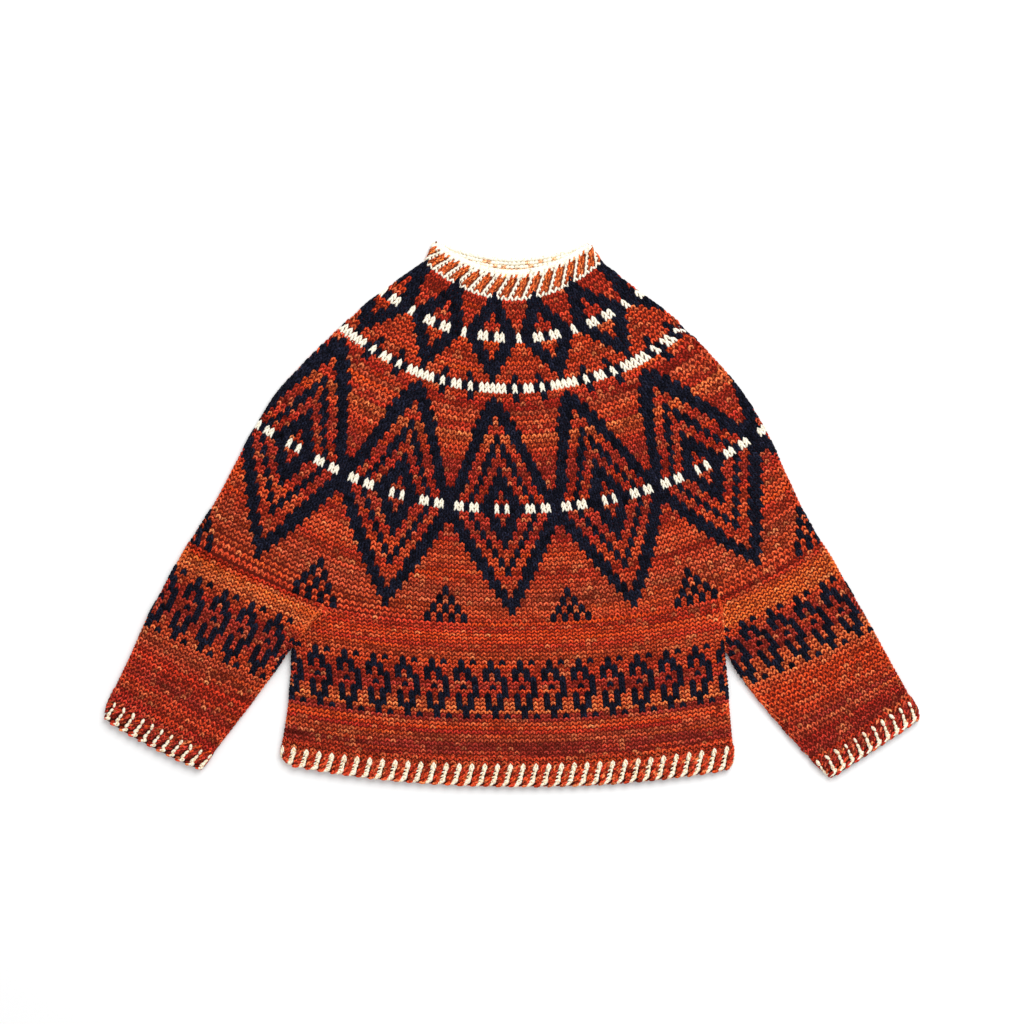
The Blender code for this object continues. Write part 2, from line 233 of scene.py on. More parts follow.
class Tube:
    # a stretch of the garment: rings of points, joined smoothly from the neck down
    def __init__(self, rows, inset=0.0, liftedEnd="right", top=None):
        rings = [ringOf(yokeRows[-1], inset, part=top)] if top else []
        rings += [ringOf(row, inset, liftedEnd) for row in rows]
        self.rings = np.array(rings)
        self.half = cloth["samples"] // 2
        self.steps = np.linspace(0, len(rings) - 1, cloth["steps"])
        middle = np.array([self.ring(step)[self.half // 2] for step in self.steps])
        gone = np.linalg.norm(np.diff(middle, axis=0), axis=1)
        self.travel = np.concatenate([[0], np.cumsum(gone)])
        self.length = self.travel[-1]

    def ring(self, step):
        ring = self.smooth(step)
        half = self.half
        fold = cloth["loft"] / 2
        flat = np.clip(np.abs(ring[:, 2] - fold) / (fold - cloth["creaseEdge"]), 0, 1)
        ring[:half, 2] += creased(ring[:half], frontCreases) * flat[:half] ** 2
        ring[half:, 2] += creased(ring[half:], backCreases) * flat[half:] ** 2
        return ring

    def smooth(self, step):
        last = len(self.rings) - 1
        low = min(max(int(step), 0), last - 1)
        share = step - low
        before, here = self.rings[max(low - 1, 0)], self.rings[low]
        there, after = self.rings[low + 1], self.rings[min(low + 2, last)]
        slopeHere = (there - before) / (2 if low > 0 else 1)
        slopeThere = (after - here) / (2 if low + 2 <= last else 1)
        if share < 0 or share > 1:
            return here + slopeHere * share if share < 0 else there + slopeThere * (share - 1)
        square, cube = share * share, share ** 3
        return (here * (2 * cube - 3 * square + 1) + slopeHere * (cube - 2 * square + share)
                + there * (3 * square - 2 * cube) + slopeThere * (cube - square))

    def stepAt(self, distance):
        # the ring that lies this far down the front's middle
        if distance < 0:
            return distance / (self.travel[1] - self.travel[0]) * self.steps[1]
        if distance > self.length:
            rate = (self.steps[-1] - self.steps[-2]) / (self.travel[-1] - self.travel[-2])
            return self.steps[-1] + (distance - self.length) * rate
        return float(np.interp(distance, self.travel, self.steps))

    def points(self, distance, chart, turns):
        # places round the row at this distance; chart says how the repeats lie on it
        ring = self.ring(self.stepAt(distance))
        ring = np.concatenate([ring, ring[:1]])
        arc = np.concatenate([[0], np.cumsum(np.linalg.norm(np.diff(ring, axis=0), axis=1))])
        front, total = arc[self.half], arc[-1]
        middleX = along(chart["axis"], distance) * pixel - photoMiddle[0] * pixel
        middle = np.interp(middleX, ring[:self.half + 1, 0], arc[:self.half + 1])
        knots, spread = spreadOf(chart, distance)
        side = chart["repeats"] / 2
        rightTurns = np.interp(front - middle, spread, knots)
        leftTurns = -np.interp(-middle, spread, knots)
        back = (total - front) / 2
        place = middle + np.interp(turns, knots, spread)
        place = np.where(turns > rightTurns,
                         front + (turns - rightTurns) * back / (side - rightTurns), place)
        place = np.where(turns < -leftTurns,
                         (turns + leftTurns) * back / (side - leftTurns), place) % total
        return np.stack([np.interp(place, arc, ring[:, axis]) for axis in range(3)], axis=1)


def along(table, value):
    # a value read from a short table of (distance, value)
    return float(np.interp(value, [row[0] for row in table], [row[1] for row in table]))


def acrossTable(table, distance):
    # one value for each of the repeats -3 to 3, at this distance
    distances = [row[0] for row in table]
    return np.array([np.interp(distance, distances, column)
                     for column in np.array([row[1] for row in table], float).T])


def spreadOf(chart, distance):
    # how far each repeat lies from the row's middle, in millimetres
    half = chart["repeats"] / 2
    if "width" in chart:
        knots = np.array([-half, half])
        return knots, knots * along(chart["width"], distance) * pixel
    here = acrossTable(chart["spread"], distance)
    more = half - 3
    here = np.concatenate([[here[0] - (here[1] - here[0]) * more], here,
                           [here[-1] + (here[-1] - here[-2]) * more]])
    return np.array([-half, -3, -2, -1, 0, 1, 2, 3, half]), here * pixel


def colour(red, green, blue):
    # a display colour as the linear one that shaders use
    parts = np.array([red, green, blue]) / 255
    return np.where(parts <= 0.04045, parts / 12.92, ((parts + 0.055) / 1.055) ** 2.4)


# Shader tools

class Link:
    def __init__(self, finish, socket):
        self.finish = finish
        self.socket = socket

    def maths(self, operation, first, second):
        made = self.finish.node("ShaderNodeMath", {"operation": operation},
                                {0: first, 1: second})
        return Link(self.finish, made.outputs[0])

    def __add__(self, other):
        return self.maths("ADD", self, other)

    def __mul__(self, other):
        return self.maths("MULTIPLY", self, other)


class Finish:
    def __init__(self, name, roughness):
        self.material = bpy.data.materials.new(name)
        self.material.use_nodes = True
        self.tree = self.material.node_tree
        self.shader = self.tree.nodes["Principled BSDF"]
        self.shader.inputs["Roughness"].default_value = roughness
        self.shader.inputs["Specular IOR Level"].default_value = 0.06

    def node(self, kind, settings, inputs):
        made = self.tree.nodes.new(kind)
        for name, value in settings.items():
            setattr(made, name, value)
        for name, value in inputs.items():
            if isinstance(value, Link):
                self.tree.links.new(value.socket, made.inputs[name])
            else:
                made.inputs[name].default_value = value
        return made

    def link(self, kind, settings, inputs, output):
        return Link(self, self.node(kind, settings, inputs).outputs[output])

    def feed(self, name, value):
        self.tree.links.new(value.socket, self.shader.inputs[name])


wool = {
    "darkest": 0.5,                     # share of its own colour
    "palest": (0.93, 0.87, 0.74),
    "fleckTint": (0.55, 0.95, 1.15),
    "fleckFrom": 0.5,
    "fleckFull": 0.66,
    "bumpDepth": 0.0005,
}


def woolFinish(name, fibre):
    finish = Finish(name, 0.95)
    place = finish.link("ShaderNodeTexCoord", {}, {}, "Object")
    yarn = finish.link("ShaderNodeAttribute", {"attribute_name": "yarn"}, {}, "Color")
    hairs = finish.link("ShaderNodeTexNoise", {},
                        {"Vector": place, "Scale": fibre["scale"], "Detail": 3.0,
                         "Roughness": 0.65}, "Fac")
    heather = finish.link("ShaderNodeTexNoise", {},
                          {"Vector": place, "Scale": fibre["heather"], "Detail": 1.0}, "Fac")
    level = hairs * fibre["contrast"] + heather * fibre["drift"] + (
        1 - fibre["contrast"] / 2 - fibre["drift"] / 2)
    level = finish.link("ShaderNodeMath", {"operation": "MAXIMUM"},
                        {0: level, 1: wool["darkest"]}, 0)
    tinted = finish.link("ShaderNodeVectorMath", {"operation": "SCALE"},
                         {0: yarn, "Scale": level}, 0)
    flecks = finish.link("ShaderNodeTexNoise", {},
                         {"Vector": place, "Scale": fibre["flecks"], "Detail": 2.0}, "Fac")
    flecks = finish.link("ShaderNodeMapRange", {},
                         {"Value": flecks, "From Min": wool["fleckFrom"],
                          "From Max": wool["fleckFull"], "To Max": fibre["fleck"]}, 0)
    paler = finish.link("ShaderNodeVectorMath", {"operation": "MULTIPLY"},
                        {0: yarn, 1: wool["fleckTint"]}, 0)
    paler = finish.link("ShaderNodeVectorMath", {"operation": "SCALE"},
                        {0: paler, "Scale": flecks}, 0)
    mixed = finish.link("ShaderNodeVectorMath", {"operation": "ADD"},
                        {0: tinted, 1: paler}, 0)
    mixed = finish.link("ShaderNodeVectorMath", {"operation": "MINIMUM"},
                        {0: mixed, 1: wool["palest"]}, 0)
    mixed = finish.link("ShaderNodeVectorMath", {"operation": "MAXIMUM"},
                        {0: mixed, 1: (0.0, 0.0, 0.0)}, 0)
    finish.feed("Base Color", mixed)
    bump = finish.link("ShaderNodeBump", {},
                       {"Height": hairs, "Strength": fibre["bump"],
                        "Distance": wool["bumpDepth"]}, "Normal")
    finish.feed("Normal", bump)
    return finish.material


yarnFibre = {"scale": 640.0, "heather": 420.0, "contrast": 5.2, "drift": 3.6, "bump": 1.0,
             "flecks": 600.0, "fleck": 2.4}
groundFibre = {"scale": 900.0, "heather": 160.0, "contrast": 0.8, "drift": 0.3, "bump": 0.5,
               "flecks": 1150.0, "fleck": 0.2}
woolYarn = woolFinish("worsted wool yarn", yarnFibre)
# the ground cloth's material: it shows the dark tint painted on the cloth as shade in the holes
# between stitches
shadedGroundWool = woolFinish("painted shade behind the stitches", groundFibre)


def deselect():
    bpy.ops.object.select_all(action="DESELECT")


def unit(vectors):
    return vectors / np.linalg.norm(vectors, axis=1)[:, None]


def paint(mesh, colours):
    layer = mesh.attributes.new("yarn", "FLOAT_COLOR", "POINT")
    opaque = np.ones((len(colours), 4), np.float32)
    opaque[:, :3] = colours
    layer.data.foreach_set("color", opaque.ravel())


# Ground cloth: a thin wall on each stretch's form, which the stitches stand on; its dark tint is
# painted shade, standing for the shade in the holes between stitches

def groundCloth(name, rows, columns, down, tint, liftedEnd="right", top=None):
    tube = Tube(rows, cloth["inset"], liftedEnd, top)
    deselect()
    bpy.ops.mesh.primitive_grid_add(x_subdivisions=columns, y_subdivisions=down, size=1)
    piece = bpy.context.object
    piece.name = name
    piece.data.name = name
    spots = np.array([corner.co[:] for corner in piece.data.vertices])
    arc = np.round((spots[:, 0] + 0.5) * columns).astype(int)
    level = np.round((0.5 - spots[:, 1]) * down).astype(int)
    placed = np.zeros_like(spots)
    for index in range(down + 1):
        ring = tube.ring(tube.stepAt(tube.length * index / down))
        here = level == index
        sample = (arc[here] * cloth["samples"] / columns) % cloth["samples"]
        placed[here] = ring[sample.astype(int)]
    placed = (placed - [*cloth["centre"], 0]) * mm
    piece.data.vertices.foreach_set("co", placed.ravel())
    bpy.ops.object.mode_set(mode="EDIT")
    bpy.ops.mesh.select_all(action="SELECT")
    bpy.ops.mesh.remove_doubles(threshold=0.00001)
    bpy.ops.mesh.normals_make_consistent(inside=False)
    bpy.ops.object.mode_set(mode="OBJECT")
    wall = piece.modifiers.new("wall", "SOLIDIFY")
    wall.thickness = cloth["thickness"] * mm
    wall.offset = -1
    bpy.ops.object.modifier_apply(modifier="wall")
    bpy.ops.object.shade_smooth_by_angle(angle=math.radians(50))
    # painted shade: the cloth is tinted dark to stand for the shade in the holes between
    # stitches
    paint(piece.data, np.tile(tint, (len(piece.data.vertices), 1)))
    piece.data.materials.append(shadedGroundWool)
    return piece


# One stitch: an upside-down V of yarn, widest apart where it dives under the next row

stitch = {
    "pitch": 6.2,       # from stitch to stitch, and from row to row
    "drop": 5.2,
    "yarn": 1.36,       # the yarn's half width, and its half height
    "depth": 1.15,
    # where the leg runs, as shares of the pitch and the drop, with its depth and fullness
    "leg": [(0.0, 0.24, 0.0, 1.0), (0.25, 0.50, -0.2, 1.0),
            (0.36, 0.95, -1.1, 0.95), (0.37, 1.55, -2.5, 0.4)],
    "plainLeg": [(0.0, 0.24, 0.0, 1.05), (0.33, 0.85, -0.7, 1.0), (0.37, 1.6, -2.4, 0.4)],
    "plump": 1.0,       # cream yarn, on longer and straighter legs
    "plumpLeg": [(0.0, 0.02, 0.0, 0.95), (0.19, 0.52, 0.0, 1.1),
                 (0.34, 1.12, -0.4, 1.1), (0.37, 1.65, -2.0, 0.5)],
    "plainPlumpLeg": [(0.0, 0.12, 0.0, 1.05), (0.33, 1.0, -0.4, 1.05), (0.37, 1.7, -2.2, 0.4)],
    "filled": 1.48,     # navy yarn, which fills its stitch
    "filledLeg": [(0.0, 0.20, 0.0, 1.0), (0.24, 0.62, -0.1, 1.0),
                  (0.31, 1.18, -0.5, 1.0), (0.33, 1.75, -2.0, 0.5)],
    "plainFilledLeg": [(0.0, 0.24, 0.0, 1.0), (0.31, 1.0, -0.4, 1.0), (0.35, 1.7, -2.2, 0.4)],
    "square": 0.85,     # 1 stands square to the row, 0 follows the repeats' lean
}


def yarnLoop(name, leg, plump=1.0):
    # a bar of yarn cut into lengths, then bent over its middle
    deselect()
    bends = len(leg) - 1
    bpy.ops.mesh.primitive_cylinder_add(vertices=4, radius=1, depth=2 * bends - 2,
                                        end_fill_type="TRIFAN",
                                        rotation=(0, math.radians(90), 0))
    bar = bpy.context.object
    bar.name = name
    bpy.ops.object.transform_apply(location=False, rotation=True, scale=False)
    bpy.ops.object.mode_set(mode="EDIT")
    for cut in range(2 - bends, bends - 1):
        bpy.ops.mesh.select_all(action="SELECT")
        bpy.ops.mesh.bisect(plane_co=(cut, 0, 0), plane_no=(1, 0, 0))
    bpy.ops.object.mode_set(mode="OBJECT")
    for corner in bar.data.vertices:
        place, across, up = corner.co
        tip = abs(across) + abs(up) < 0.1
        bend = bends if tip else round(abs(place))
        side = 1 if place > 0 else -1
        x, y, z, full = leg[bend]
        before, after = leg[max(bend - 1, 0)], leg[min(bend + 1, bends)]
        runX = (after[0] - before[0]) * stitch["pitch"]
        runY = (after[1] - before[1]) * stitch["drop"] if bend else 0
        run = math.hypot(runX, runY)
        x = x * stitch["pitch"] * side
        y = y * stitch["drop"]
        if not tip:
            x -= runY / run * across * stitch["yarn"] * plump * full * side
            y += runX / run * across * stitch["yarn"] * plump * full
            z += up * stitch["depth"] * plump * full
        corner.co = (x, y, z - stitch["depth"])
    spots = np.array([corner.co[:] for corner in bar.data.vertices])
    faces = [list(face.vertices) for face in bar.data.polygons]
    bpy.data.objects.remove(bar, do_unlink=True)
    return spots, faces


def stitchKinds(name, leg, plumpLeg, filledLeg):
    spots, faces = yarnLoop(name, leg)
    plump = yarnLoop(name, plumpLeg, stitch["plump"])[0]
    return spots, faces, plump, yarnLoop(name, filledLeg, stitch["filled"])[0]


fullStitch = stitchKinds("full stitch", stitch["leg"], stitch["plumpLeg"],
                         stitch["filledLeg"])
plainStitch = stitchKinds("plain stitch", stitch["plainLeg"], stitch["plainPlumpLeg"],
                          stitch["plainFilledLeg"])
print("stitches modelled", len(fullStitch[1]), len(plainStitch[1]), "faces")


def joined(name, template, places, across, down, outward, colours, plump):
    # copies of one stitch as one mesh; plump goes from 0, thin, to 1, or to -1 for filled
    spots, faces, fuller, filled = template
    shapes = (spots[None] + (fuller - spots)[None] * np.maximum(plump, 0)[:, None, None]
              + (filled - spots)[None] * np.maximum(-plump, 0)[:, None, None])
    corners = (places[:, None, :] + shapes[:, :, 0, None] * across[:, None, :]
               + shapes[:, :, 1, None] * down[:, None, :]
               + shapes[:, :, 2, None] * outward[:, None, :])
    corners[:, :, 2] = np.maximum(corners[:, :, 2], cloth["lowest"])    # pressed flat
    corners = (corners - [*cloth["centre"], 0]) * mm
    count, size = len(places), len(spots)
    turned = (np.cross(across, down) * outward).sum() < 0
    loops = np.concatenate([np.array(face[::-1] if turned else face) for face in faces])
    starts = np.concatenate([[0], np.cumsum([len(face) for face in faces])[:-1]])
    mesh = bpy.data.meshes.new(name)
    mesh.vertices.add(count * size)
    mesh.vertices.foreach_set("co", corners.astype(np.float32).ravel())
    allLoops = (loops[None, :] + np.arange(count)[:, None] * size).astype(np.int32)
    allStarts = (starts[None, :] + np.arange(count)[:, None] * len(loops)).astype(np.int32)
    mesh.loops.add(allLoops.size)
    mesh.loops.foreach_set("vertex_index", allLoops.ravel())
    mesh.polygons.add(allStarts.size)
    mesh.polygons.foreach_set("loop_start", allStarts.ravel())
    mesh.polygons.foreach_set("use_smooth", np.ones(allStarts.size, bool))
    mesh.update(calc_edges=True)
    mesh.validate()
    paint(mesh, np.repeat(colours, size, axis=0))
    mesh.materials.append(woolYarn)
    piece = bpy.data.objects.new(name, mesh)
    bpy.context.scene.collection.objects.link(piece)
    return piece


def rowOfStitches(tube, chart, distance, nextDistance, count, lift=0.0):
    # where one row's stitches stand, and the three directions of each
    repeats = chart["repeats"]
    turns = (np.arange(count) / count - 0.5) * repeats
    turns = np.round(turns * 1e6) / 1e6
    small = repeats / count * 0.25
    here = tube.points(distance, chart, turns)
    below = tube.points(nextDistance, chart, turns)
    right = tube.points(distance, chart, turns + small)
    left = tube.points(distance, chart, turns - small)
    across = (right - left) * 2 / stitch["pitch"]
    way = unit(across)
    down = below - here
    down = down - way * ((down * way).sum(axis=1) * stitch["square"])[:, None]
    steep = cloth["steepest"] * np.linalg.norm(down[:, :2], axis=1)
    down[:, 2] = np.clip(down[:, 2], -steep, steep)
    down /= stitch["drop"]
    outward = np.cross(down, across)
    outward /= np.linalg.norm(outward, axis=1)[:, None]
    if "sway" in chart:
        sway = np.interp(turns, np.arange(-3, 4), acrossTable(chart["sway"], distance))
        here = here + down * (sway * pixel / (nextDistance - distance) * stitch["drop"])[:, None]
    return turns, here + outward * lift, across, down, outward


# Yarn shades: each row's ground drifts slowly, and single stitches differ a little

yarnShades = {
    "navy": colour(17, 16, 25),
    "cream": colour(250, 238, 208),
    "bright": 1.07,     # how much brighter the yarn is than a row seen from afar
    "tan": colour(226, 138, 88),
    "shadow": colour(70, 16, 12),
    "flame": colour(206, 74, 26),
    "warm": (1.03, 0.84, 0.74),
    "creamBright": 1.25,
    "lowerCream": (0.94, 0.70, 0.58),    # lower down the cream yarn looks warmer
}
mottling = {
    "row": 0.11,            # from one row to the next
    "long": (18, 0.16),     # along a row: stitches from one knot to the next, and how much
    "short": (5, 0.12),
    "stitch": 0.17,         # from one stitch to the next
    "limits": (0.4, 1.9),
    "most": 0.65,           # of another shade mixed into a stitch
    "navy": 0.25,
    "cream": 0.03,
}
# other shades in a row: how much in single stitches, how slowly and how much along it,
# and how much is held back
otherShades = [("flame", 0, 9, 0.3, 0.1), ("tan", 0.2, 6, 0.1, 0.11),
               ("shadow", 0.3, 6, 0.1, 0.16)]
rowShades = {
    "brick": (151, 44, 28), "cherry": (138, 36, 26), "wine": (122, 38, 30),
    "scarlet": (164, 45, 26), "rust": (160, 54, 31), "flame": (176, 58, 28),
    "clay": (168, 65, 36), "oak": (148, 60, 38), "copper": (180, 82, 46),
    "gold": (188, 84, 38), "ginger": (190, 90, 50), "ruby": (130, 32, 22),
}


def drift(count, length):
    # slow random change round a row
    knots = max(int(count / length), 3)
    values = seed.normal(size=knots)
    values = np.append(values, values[0])
    return np.interp(np.arange(count) * knots / count, np.arange(knots + 1), values)


def groundYarn(table, row, count, contrast=1.0):
    # the row's stripe, streaked along the row, with single stitches lighter or darker
    keys = [entry[0] for entry in table]
    shades = np.array([colour(*rowShades[entry[1]]) for entry in table])
    base = np.array([np.interp(row, keys, shades[:, part]) for part in range(3)])
    base = base * yarnShades["bright"]
    streaks = seed.normal() * mottling["row"]
    for length, share in (mottling["long"], mottling["short"]):
        streaks = streaks + drift(count, length) * share
    streaks = streaks + seed.normal(size=count) * mottling["stitch"]
    level = np.clip(1 + streaks * contrast, *mottling["limits"])
    made = base[None, :] * level[:, None]
    for name, single, length, slow, less in otherShades:
        share = seed.normal(size=count) * single if single else 0
        share = share + drift(count, length) * slow - less
        part = np.clip(share * contrast, 0, mottling["most"])[:, None]
        made = made * (1 - part) + yarnShades[name] * part
    return made * yarnShades["warm"]


def dyed(ground, codes):
    # the tones of a row's stitches, and how plump each of them is
    made = ground.copy()
    plump = np.zeros(len(ground))
    for code, name, full in ((1, "navy", -1.0), (2, "cream", 1.0)):
        here = codes == code
        noise = 1 + seed.normal(size=here.sum())[:, None] * mottling[name]
        made[here] = yarnShades[name] * noise * (yarnShades["creamBright"] if code == 2 else 1)
        plump[here] = full
    return made, plump


# Yoke chart: ten repeats round, charted by rule. 0 is ground, 1 navy, 2 cream

yokeChart = {
    "repeats": 10,
    # distance below the neck seam against the pixels from the middle to repeats -3 to 3
    "spread": [(0, (-115, -77, -38.5, 0, 38.5, 77, 115)),
               (40, (-168, -110, -54, 0, 54, 109, 166)),
               (97, (-222, -145, -71.5, 0, 70, 140.5, 214)),
               (114, (-260, -163, -75.5, 0, 73, 153, 246)),
               (240, (-331, -221, -106, 0, 108.5, 205, 325)),
               (358, (-400, -265, -127.5, 0, 121.5, 252, 385))],
    # and how much lower than the cloth's rows they lie there
    "sway": [(0, (0, 0, 0, 0, 0, 0, 0)), (38, (1, 2, 2.3, 0, 1.3, 2, 1)),
             (97, (2, 5, 4, 0, 0, 4.5, 2)), (112, (1, 0.5, 0.5, 0, -2, 4, 2)),
             (240, (-2, -7, -2.5, 0, 0, 1, 0)), (350, (-2, -5, -2.5, 1, 3, 1, 0)),
             (371, (0, 0, 0, 0, 0, 0, 0))],
    "axis": [(0, 495), (40, 491.5), (98, 493), (112, 494), (170, 498), (240, 502),
             (358, 512.5), (372, 513)],
    # row against its distance below the neck seam, in millimetres
    "rows": [(0, 0.0), (7, 38.0), (18, 96.6), (44, 234.8), (68, 356.4), (71, 370.6)],
    # row against stitches in a repeat
    "stitches": [(0, 8), (7, 10), (18, 13), (23, 13), (40, 21), (71, 21)],
    "smallMiddle": 7.5,         # row of the small lozenges' middle
    "smallHalf": 10.4,
    "smallSlope": 0.47,         # stitches to a row
    "smallBand": (2.55, 4.9),   # stitches from the middle, from and to
    "dashRow": 18,
    "bigMiddle": 44.5,          # row of the big lozenges' middle
    "bigSlopes": (0.465, 0.482),
    "bigBands": [(9.5, 11.7), (6.3, 7.45), (1.8, 4.2)],
    "lastTip": 68,
    "triangleRow": 63,
    "triangleLevels": 4,
}
yokeShades = [
    (0, "brick"), (5, "brick"), (7, "cherry"), (9, "flame"), (14, "rust"), (17, "rust"),
    (20, "rust"), (21, "brick"), (22, "ruby"), (23, "ruby"), (24, "oak"), (25, "rust"),
    (26, "clay"), (27, "brick"), (28, "brick"), (29, "ginger"), (31, "clay"),
    (33, "brick"), (36, "wine"), (39, "cherry"), (44, "brick"), (49, "wine"),
    (52, "cherry"), (54, "rust"), (57, "clay"), (59, "brick"), (61, "rust"), (63, "oak"),
    (66, "oak"), (68, "clay"), (70, "rust"),
]


def yokeCodes(row, turns, perRepeat):
    axis = np.round(turns)
    column = np.round((turns - axis) * perRepeat)
    away = np.abs(column)
    codes = np.zeros(len(turns), int)
    # small lozenges under the neck
    height = row - yokeChart["smallMiddle"]
    if abs(height) < yokeChart["smallHalf"]:
        spread = away + abs(height) * yokeChart["smallSlope"]
        inner, outer = yokeChart["smallBand"]
        codes[(spread > inner) & (spread <= outer)] = 1
        if abs(height) < 1:
            codes[(away >= 1) & (away <= 2)] = 2
            codes[away == 0] = 1
            codes[away >= 5] = 2
    # broken cream line with small crosses
    step = row - yokeChart["dashRow"]
    if step in (0, 1):
        codes[:] = 2
        codes[(away == 3) | (away == 5)] = 1
    elif step in (-2, -1, 2, 3):
        codes[away == 4] = 1
    # big nested lozenges
    height = row - yokeChart["bigMiddle"]
    spread = away + abs(height) * yokeChart["bigSlopes"][0 if height < 0 else 1]
    if row > yokeChart["dashRow"] + 2 and row <= yokeChart["lastTip"] + 1:
        for inner, outer in yokeChart["bigBands"]:
            codes[(spread > inner) & (spread <= outer)] = 1
        if abs(height) < 1:
            codes[(away >= 9.5) | (away == 7) | ((away >= 2) & (away <= 4))] = 1
            codes[(away == 1) | (away == 5) | (away == 6) | (away == 8) | (away == 9)] = 2
            codes[away == 0] = 1
    # checked triangles between the lozenges' feet
    level = math.floor((row - yokeChart["triangleRow"]) / 2)
    if 0 <= level < yokeChart["triangleLevels"]:
        off = np.abs((np.round(turns * perRepeat) - 10 + perRepeat * 1000.5) % perRepeat
                     - perRepeat / 2)
        off = np.round(off)
        codes[(off <= level) & ((off + level) % 2 == 0)] = 1
    return codes


# Lower bands: the same small hooks and loops round the body and both sleeves.
# One repeat is 5 stitches wide and 14 rows high, and # is a navy stitch.

hooks = [".#.#.", ".#...", "###..", "#.#..", "#.##.", "...#.", ".#.#.",
         "...#.", "#.##.", "#.#..", "#.#..", "###..", ".#...", ".#.#."]
bodyChart = {
    "repeats": 30,
    "width": [(0, 29.2), (160, 29.2)],
    "axis": [(0, 486.4), (155, 499.9)],
    "rows": [(0, 0.0), (10, 46.6), (24, 113.2), (34, 159.8)],
    "firstHook": 10,
}
bodyShades = [
    (0, "brick"), (1, "brick"), (2, "scarlet"), (3, "flame"), (4, "flame"), (6, "brick"),
    (7, "rust"), (8, "clay"), (9, "clay"), (11, "rust"), (14, "brick"), (16, "wine"),
    (18, "cherry"), (20, "copper"), (22, "ginger"), (23, "wine"), (24, "wine"),
    (25, "clay"), (26, "flame"), (27, "cherry"), (28, "oak"), (29, "oak"), (30, "wine"),
    (31, "wine"), (32, "wine"), (34, "cherry"),
]
# rows counted from each sleeve's first hook
leftSleeveShades = [
    (-6, "scarlet"), (-5, "flame"), (-4, "gold"), (-1, "ginger"), (1, "clay"),
    (3, "cherry"), (5, "wine"), (9, "wine"), (11, "rust"), (13, "clay"), (15, "oak"),
    (17, "oak"), (19, "brick"), (20, "scarlet"), (22, "brick"), (24, "wine"), (26, "brick"),
    (28, "rust"), (30, "cherry"),
]
rightSleeveShades = [
    (-9, "cherry"), (-8, "ruby"), (-7, "brick"), (-5, "gold"), (-1, "gold"), (1, "rust"),
    (3, "wine"), (8, "wine"), (10, "copper"), (13, "ginger"), (15, "clay"), (17, "flame"),
    (20, "flame"), (23, "rust"), (25, "wine"), (26, "oak"), (28, "cherry"), (31, "wine"),
]
leftSleeveChart = {
    "repeats": 10,
    "width": [(0, 29.3), (110, 28.6), (200, 22)],
    "axis": [(0, 238), (34, 226.5), (105, 200.5), (198, 167)],
    "rows": [(0, 0.0), (6, 29.5), (20, 107.2), (37, 196.3)],
    "firstHook": 6,
    "raised": [(0, 1.4), (1, 1.1), (4, 0)],    # its first rows stand level with the yoke
    "plain": (4, 2.65, 3.5),                   # no hooks in 4 rows on the lower fold
}
rightSleeveChart = {
    "repeats": 10,
    "width": [(0, 30), (110, 28.8), (200, 22)],
    "axis": [(0, 750), (40, 768), (110, 808), (200, 858)],
    "rows": [(0, 0.0), (8, 37.6), (22, 111.0), (40, 208.8)],
    "firstHook": 8,
}


def hookCodes(row, turns, perRepeat, chart):
    codes = np.zeros(len(turns), int)
    line = row - chart["firstHook"]
    wide = len(hooks[0])
    if 0 <= line < len(hooks) and perRepeat == wide:
        column = np.round(turns * perRepeat + 1).astype(int) % wide
        marks = np.array([mark == "#" for mark in hooks[line]])
        codes[marks[column]] = 1
        until, first, last = chart.get("plain", (0, 0, 0))
        if line < until:
            codes[(turns > first) & (turns < last)] = 0
    return codes


def stack(rows):
    return [np.concatenate([row[item] for row in rows]) for item in range(len(rows[0]))]


laying = {
    "frontFrom": -0.2,      # a stitch that faces up more than this is on the front
    "front": 4300,          # most stitches in one mesh
    "back": 7600,
}


def layStitches(name, tube, rowPlan, chart):
    # front rows take the full stitch, back rows the plainer one; long pieces are parted
    parts = {"front": [], "back": []}
    for distance, after, count, lift, painter in rowPlan:
        turns, here, across, down, outward = rowOfStitches(
            tube, chart, distance, after, count, lift)
        tones, plump = painter(turns, count)
        isFront = outward[:, 2] > laying["frontFrom"]
        for side, mask in (("front", isFront), ("back", ~isFront)):
            if mask.any():
                parts[side].append((here[mask], across[mask], down[mask], outward[mask],
                                    tones[mask], plump[mask]))
    made = []
    for side, template in (("front", fullStitch), ("back", plainStitch)):
        rows = parts[side]
        if not rows:
            continue
        total = sum(len(row[0]) for row in rows)
        pieces = max(1, math.ceil(total / laying[side]))
        share = math.ceil(len(rows) / pieces)
        for index in range(pieces):
            chosen = rows[index * share:(index + 1) * share]
            stacked = stack(chosen)
            label = "" if pieces == 1 else "_" + "abcdef"[index]
            made.append(joined(name + "_" + side + label, template, *stacked))
    return made


def rowDistances(chart, lastRow):
    keys = [entry[0] for entry in chart["rows"]]
    values = [entry[1] for entry in chart["rows"]]
    return [float(np.interp(row, keys, values)) for row in range(lastRow + 1)]


def yokePlan():
    plan = []
    lastRow = yokeChart["rows"][-1][0]
    distances = rowDistances(yokeChart, lastRow)
    for row in range(lastRow):
        perRepeat = int(round(along(yokeChart["stitches"], row)))

        def painter(turns, count, row=row, perRepeat=perRepeat):
            ground = groundYarn(yokeShades, row, count)
            return dyed(ground, yokeCodes(row, turns, perRepeat))

        count = perRepeat * yokeChart["repeats"]
        plan.append((distances[row], distances[row + 1], count, 0.0, painter))
    return plan


